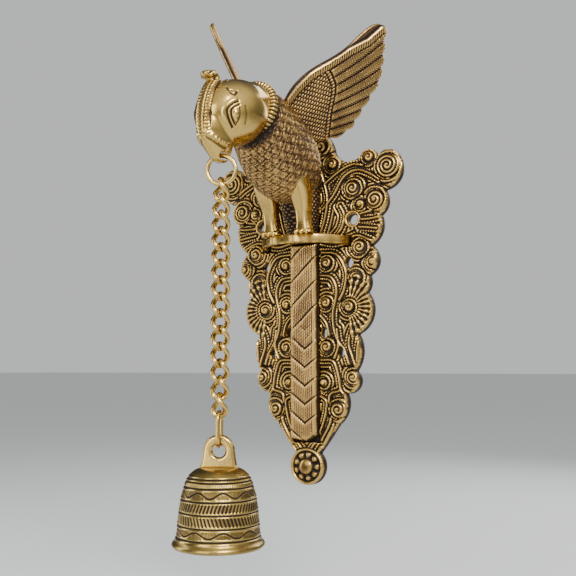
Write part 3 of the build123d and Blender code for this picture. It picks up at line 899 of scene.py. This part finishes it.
def mouth_bar(points, lateral):
    """Raised beaded bar over the mouth, with a cut under it."""
    forward, tall = (points - NECK_FRONT) @ FACING, points @ UP
    over, under = np.full(len(points), FAR), np.full(len(points), FAR)
    station = np.zeros(len(points))
    for k, (f, z) in enumerate(smooth_curve(MOUTH_BAR, 60)):
        gap = np.hypot(forward - f, tall - z)
        station = np.where(gap < over, k, station)
        over = np.minimum(over, gap)
        under = np.minimum(under, np.hypot(forward - f, tall - z + 2.1))
    lift = (0.7 + 0.5 * wave(station / 8)) * bump(over, 1.15) - 0.6 * bump(under, 0.6)
    return lift * np.clip(np.abs(lateral) - 2.0, 0, 1)


def crest_beads(points, lateral):
    """Edge grooves and rows of beads along the crest strip, and which points are on it."""
    line = head_line(CREST, 200)
    run = np.append(0, np.cumsum(np.linalg.norm(np.diff(line, axis=0), axis=1)))
    flat = points - lateral[:, None] * ACROSS
    near, station = np.full(len(points), FAR), np.zeros(len(points))
    for place, distance in zip(line[::2], run[::2]):
        gap = np.linalg.norm(flat - place, axis=1)
        station = np.where(gap < near, distance, station)
        near = np.minimum(near, gap)
    aside = np.abs(lateral)
    on_strip = (near < 11) & (aside < 6.2) & (station < 41) & (aside > 0.2)
    beads = wave(station / 2.2) ** 0.8
    rows = bump(near - 2.2, 1.0) + bump(near - 8.2, 1.1)
    grooves = bump(near - 0.6, 0.5) + bump(near - 4.2, 0.55) + bump(near - 6.3, 0.55)
    sides = (rows * (beads - 0.35) * 0.9 - 0.6 * grooves) * np.clip(aside - 2.6, 0, 1)
    cap = (near < 3.5) & (aside <= 3.6) & (station < 44)
    top = 0.35 * (beads - 0.5) * bump(lateral, 2.0)
    return np.where(on_strip, sides, 0) + np.where(cap, top, 0), on_strip


def build_head():
    piece = cast_head()
    mesh = piece.data
    points = vectors(mesh) / MM
    lateral = (points - NECK_FRONT) @ ACROSS
    beads, on_strip = crest_beads(points, lateral)
    lift = face_engraving(points, lateral) + mouth_bar(points, lateral) + beads
    points += lift[:, None] * vectors(mesh, "normal")
    mesh.vertices.foreach_set("co", (points * MM).ravel())
    mesh.polygons.foreach_set("use_smooth", [True] * len(mesh.polygons))
    relief = 0.72 + 0.9 * np.minimum(lift, 0.1) - 0.12 * on_strip
    finish_piece(piece, "bracket", polished, relief, ["parrot_head"])


build_head()


# ---- tail
def build_tail():
    low, high = node_box("tail_plank")
    # the cast tail is a little broader than its plank
    loops = wall_loops("tail_plank", widen=TAIL_HALF_WIDE / high[0])[:1]
    thick = high[1] - low[1]

    def front(x, z, inner):
        strokes = wave(x / 1.45 + 0.25 * np.sin(z / 9.0))
        cross = 0.5 + 0.5 * wave(z / 2.3 + 0.5 * np.floor(x / 1.45))
        slanted = (z - 0.95 * x) / 17.0
        pointed = (z - 0.75 * np.abs(x - 1.5)) / 12.8
        lower = np.clip((-72 - z) / 14, 0, 1)
        saw = (1 - lower) * np.mod(slanted, 1) + lower * np.mod(pointed, 1)
        edge = bump(np.minimum(saw, 1 - saw) * 14, 0.7)
        height = thick - 2.1 + saw + 0.42 * strokes * cross - 0.9 * edge
        height += np.where(x > 6.9, 0.8 * bump(x - 7.8, 0.5) + 0.5 * bump(x - 9.3, 0.45) - 0.5, 0)
        return PLATE_BASE + height * np.clip(0.72 + 0.28 * np.sqrt(np.clip(inner / 1.6, 0, 1)), 0, 1)

    def back(x, z, inner):
        return np.full(x.shape, PLATE_BASE)

    verts, faces, relief = relief_plate(loops, 0.45, front, back, on_wall, contrast=1.0)
    relief += 0.16
    add_piece("engraved_tail", verts, faces, "bracket", feathered, relief, ["tail_plank"])


build_tail()


# ---- perch hoop
def build_hoop():
    low, high = node_box("perch_hoop")
    radius = high[0] - 2.4
    middle_z = (low[2] + high[2]) / 2
    turn = np.linspace(radians(5.2), pi - radians(5.2), 200)
    radial = np.stack([np.cos(turn), -np.sin(turn), 0 * turn], 1)
    sway = 0.12 * np.sin(turn * 9)[:, None] * radial
    centres = radial * radius + sway + middle_z * UP
    thick = (2.1 + 0.12 * np.sin(turn * 13 + 1))[:, None]
    tall = np.tile(UP * (high[2] - low[2]) / 2, (len(turn), 1))
    verts, faces, _ = tube(centres, radial * thick, tall, 36, 0.5)
    relief = 0.62 + 0.12 * np.sin(verts[:, 0] * 1.1)
    add_piece("perch", verts, faces, "bracket", polished, relief, ["perch_hoop"])


build_hoop()


# ---- ring and chain
HANG_YAW = 22.0
LINK_YAW = 29.0
WIRE_R = 1.25
LINK_WIRE_R = 1.52
ring_low, ring_high = node_box("beak_ring")
hang = (ring_low + ring_high) / 2
HANG_HEADING = np.array([cos(radians(HANG_YAW)), sin(radians(HANG_YAW)), 0])
LINKS = sorted(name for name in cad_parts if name.startswith("chain_link_"))


def build_ring():
    turn = np.linspace(0, 2 * pi, 120, endpoint=False)
    wire = 1.4
    radius = (ring_high[2] - ring_low[2]) / 2 - wire
    path = hang + radius * (np.outer(np.sin(turn), HANG_HEADING) + np.outer(np.cos(turn), UP))
    verts, faces = wire_loop(path, wire, 20)
    add_piece("round_ring", verts, faces, "beak_ring", wire_brass, 0.75, ["beak_ring"])


def link_yaw(number):
    """The ends of the chain are wrung round to meet the ring and the long link."""
    count = len(LINKS)
    from_top = max(0, 1 - (number - 1) / 5)
    from_end = max(0, 1 - (count - number) / 3)
    swing = LINK_YAW + 45 - HANG_YAW
    return LINK_YAW - swing * from_top**2 - swing * from_end**2


def build_link(number, node):
    """A curb link: an oval of wire with its two ends wrung a quarter turn apart."""
    low, high = node_box(node)
    middle = (low + high) / 2
    half_high = (high[2] - low[2]) / 2 + LINK_WIRE_R - 2 * WIRE_R
    turn = np.linspace(0, 2 * pi, 84, endpoint=False)
    across = 4.35 * np.sign(np.sin(turn)) * np.abs(np.sin(turn)) ** 0.86
    up = half_high * np.cos(turn)
    heading = np.radians(link_yaw(number) - 54 * np.sin(up / half_high * pi / 2))
    spread = np.stack([across * np.cos(heading), across * np.sin(heading), up], 1)
    verts, faces = wire_loop((hang[0], hang[1], middle[2]) + spread, LINK_WIRE_R, 16)
    relief = 0.78 - 0.3 * bump(np.abs(verts[:, 2] - middle[2]) - half_high + 0.4, 1.4)
    name = node.replace("chain_link", "curb_link")
    add_piece(name, verts, faces, node, wire_brass, relief, [node])


build_ring()
for number, node in enumerate(LINKS, 1):
    build_link(number, node)


# ---- bell
bell_low, bell_high = node_box("bell")
SHOULDER_Z = bell_low[2] + 45.0
EYE_Z = SHOULDER_Z + 9.7
# Profiles as radius and distance below the shoulder
BELL_OUTER = [
    (0.01, 0.0), (6, 0.0), (11, 0.15), (14.5, 1.5), (17.2, 3.8), (19, 6.7), (20.6, 11), (22.2, 17),
    (23.3, 24.5), (24.1, 32), (24.6, 38), (25.6, 40.8), (27.0, 42.6), (27.25, 44.0), (26.3, 45.0),
]
BELL_INNER = [
    (24.4, 44.6), (22.6, 41), (21.4, 34), (20.3, 25), (18.6, 16), (16, 9.3), (12, 5.2), (6, 3.6),
    (0.01, 3.5),
]
GROOVES = (5.2, 7.0, 10.1, 17.3, 24.4, 31.8, 38.6)


def bell_engraving(drop, turn):
    """Depth of the engraving on the outside of the bell."""
    arc = turn / (2 * pi)
    lift = np.zeros(drop.shape)
    for groove in GROOVES:
        lift -= 0.55 * bump(drop - groove, 0.42)
        lift += 0.22 * bump(drop - groove - 1.0, 0.5) + 0.22 * bump(drop - groove + 1.0, 0.5)

    def band(top, bottom):
        return np.clip((drop - top - 0.9) / 0.4, 0, 1) * np.clip((bottom - 0.9 - drop) / 0.4, 0, 1)

    lift -= 0.22 * band(6.6, 10.6) * wave(arc * 110 + drop * 0.12)
    lift -= 0.42 * band(17.3, 24.4) * wave(arc * 66 + drop * 0.15) ** 1.5
    lift -= 0.42 * band(24.4, 31.8) * wave(arc * 66 - drop * 0.15) ** 1.5
    for top, bottom in ((10.1, 17.3), (31.8, 38.6)):
        middle = (top + bottom) / 2
        line = drop - middle - 1.5 * np.sin(turn * 9)
        lift -= 0.55 * bump(line, 0.42)
        hatch = wave(arc * 150) * (np.sign(line) * np.sin(turn * 9) < 0) * band(top, bottom)
        lift -= 0.20 * hatch * (np.abs(line) > 0.8)
    return lift


def build_bell():
    outer = smooth_curve(BELL_OUTER, 300)
    run = np.append(0, np.cumsum(np.hypot(*np.diff(outer, axis=0).T)))
    even = np.linspace(0, run[-1], 180)
    outer = np.stack([np.interp(even, run, outer[:, k]) for k in (0, 1)], 1)
    inner = smooth_curve(BELL_INNER, 40)
    profile = np.vstack([outer, inner])
    turn = np.linspace(0, 2 * pi, 400, endpoint=False)
    radius = np.repeat(profile[:, :1], len(turn), 1)
    drop = np.repeat(profile[:, 1:], len(turn), 1)
    lift = bell_engraving(drop, np.broadcast_to(turn, drop.shape))
    lift[len(outer):] = 0.0
    # the flat crown stays plain
    lift *= np.clip((radius - 12) / 3, 0, 1)
    radius += lift
    points = np.stack(
        [hang[0] + radius * np.cos(turn), hang[1] + radius * np.sin(turn), SHOULDER_Z - drop], 2
    )
    relief = 0.70 + 1.25 * np.minimum(lift, 0.1)
    relief[len(outer):] = 0.34
    verts = points.reshape(-1, 3)
    faces = grid_faces(len(profile), len(turn), wrap_rows=True)
    add_piece("bell_shell", verts, faces, "bell", bell_brass, relief.ravel(), ["bell"])


def build_eye_tab():
    """The cast eye on top of the bell, a rounded tab with a flared foot."""
    arc = np.linspace(0, pi, 40)
    top = np.stack([9.4 * np.cos(arc), 9.4 * np.sin(arc)], 1)
    foot = [(-9.9, -4), (-10.7, -8), (-12.2, -10.6), (12.2, -10.6), (10.7, -8), (9.9, -4)]
    ring = np.linspace(0, 2 * pi, 40, endpoint=False)
    hole = 3.9 * np.stack([np.cos(ring), np.sin(ring)], 1)
    loops = [np.vstack([top, foot]), hole]
    normal = np.cross(HANG_HEADING, UP)
    centre = np.array([hang[0], hang[1], EYE_Z])

    def face(x, z, inner):
        return 0.75 + 1.75 * half_round(1 - np.clip(inner / 1.8, 0, 1), 1)

    def place(x, z, h):
        return centre + np.outer(x, HANG_HEADING) + np.outer(z, UP) + np.outer(h, normal)

    verts, faces, _ = relief_plate(loops, 0.4, face, lambda x, z, i: -face(x, z, i), place)
    add_piece("bell_eye", verts, faces, "bell", polished, 0.72)


build_bell()
build_eye_tab()


# ---- carried-over CAD nodes
for node in ("rear_screws", "long_link", "clapper_staple", "clapper_hook", "clapper"):
    for material_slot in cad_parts[node].material_slots:
        material_slot.material = plain_brass


# ---- floor, light and camera
CAMERA_AZIMUTH = 29.0
CAMERA_DISTANCE = 586.4
CAMERA_SIDE = 15.9
CAMERA_Z = -103.0
STUDIO = [(0, (0.025,) * 3), (1, (1.5, 1.47, 1.4)), (0.5, (0.10,) * 3), (0.72, (0.34, 0.34, 0.33))]
VIEW_RISE = 0.09744  # the line of sight climbs by this share of its length
LENS = 51.6


def stage_floor():
    bpy.ops.mesh.primitive_plane_add(size=60, location=(0, 0, -0.30))
    floor = bpy.context.object
    floor.name = "floor"
    pale = bpy.data.materials.new("pale_floor")
    pale.use_nodes = True
    shader = pale.node_tree.nodes["Principled BSDF"]
    shader.inputs["Base Color"].default_value = (0.66, 0.67, 0.68, 1)
    shader.inputs["Roughness"].default_value = 0.8
    floor.data.materials.append(pale)


def soft_light(name, place, target, size, power, colour):
    light = bpy.data.lights.new(name, "AREA")
    light.shape = "RECTANGLE"
    light.size, light.size_y = size
    light.energy = power
    light.color = colour
    lamp = placed(name, light)
    lamp.location = place
    lamp.rotation_euler = (Vector(target) - Vector(place)).to_track_quat("-Z", "Y").to_euler()


def stage_light():
    """Metal mirrors a studio that goes from dark to bright; everything else sees pale grey."""
    world = bpy.data.worlds.new("studio")
    bpy.context.scene.world = world
    world.use_nodes = True
    nodes, links = world.node_tree.nodes, world.node_tree.links
    place = nodes.new("ShaderNodeTexCoord")
    towards = nodes.new("ShaderNodeVectorMath")
    towards.operation = "DOT_PRODUCT"
    towards.inputs[1].default_value = unit((0.55, -0.45, 0.7))
    links.new(place.outputs["Generated"], towards.inputs[0])
    span = nodes.new("ShaderNodeMapRange")
    span.inputs["From Min"].default_value = -1
    links.new(towards.outputs["Value"], span.inputs["Value"])
    seen = nodes.new("ShaderNodeMix")
    seen.data_type = "RGBA"
    rays = nodes.new("ShaderNodeLightPath")
    links.new(rays.outputs["Is Glossy Ray"], seen.inputs["Factor"])
    seen.inputs[6].default_value = (0.60, 0.61, 0.61, 1)
    links.new(ramp(world.node_tree, span.outputs[0], STUDIO), seen.inputs[7])
    links.new(seen.outputs[2], nodes["Background"].inputs["Color"])
    soft_light("key", (0.75, -0.75, 0.65), (0, -0.05, -0.03), (0.5, 0.5), 17, (1, 0.98, 0.95))
    soft_light("front", (-0.1, -1.1, 0.1), (0, -0.05, -0.05), (0.5, 0.9), 6, (1, 1, 1))
    soft_light("left", (-0.9, -0.35, 0.15), (0, -0.05, -0.05), (0.3, 0.9), 4, (0.97, 0.98, 1))
    soft_light("back", (0.2, 0.9, 0.5), (0, 0, 0), (0.8, 0.8), 8, (1, 1, 1))


def stage_camera():
    yaw = radians(CAMERA_AZIMUTH)
    right = np.array([cos(yaw), sin(yaw), 0])
    ahead = np.array([-sin(yaw), cos(yaw), 0])
    place = -ahead * CAMERA_DISTANCE - right * CAMERA_SIDE + UP * CAMERA_Z
    look = ahead + UP * VIEW_RISE
    camera_data = bpy.data.cameras.new("camera")
    camera_data.lens = LENS
    camera_data.clip_start = 0.01
    camera = placed("camera", camera_data)
    camera.location = place * MM
    camera.rotation_euler = Vector(look).to_track_quat("-Z", "Y").to_euler()
    bpy.context.scene.camera = camera


stage_floor()
stage_light()
stage_camera()
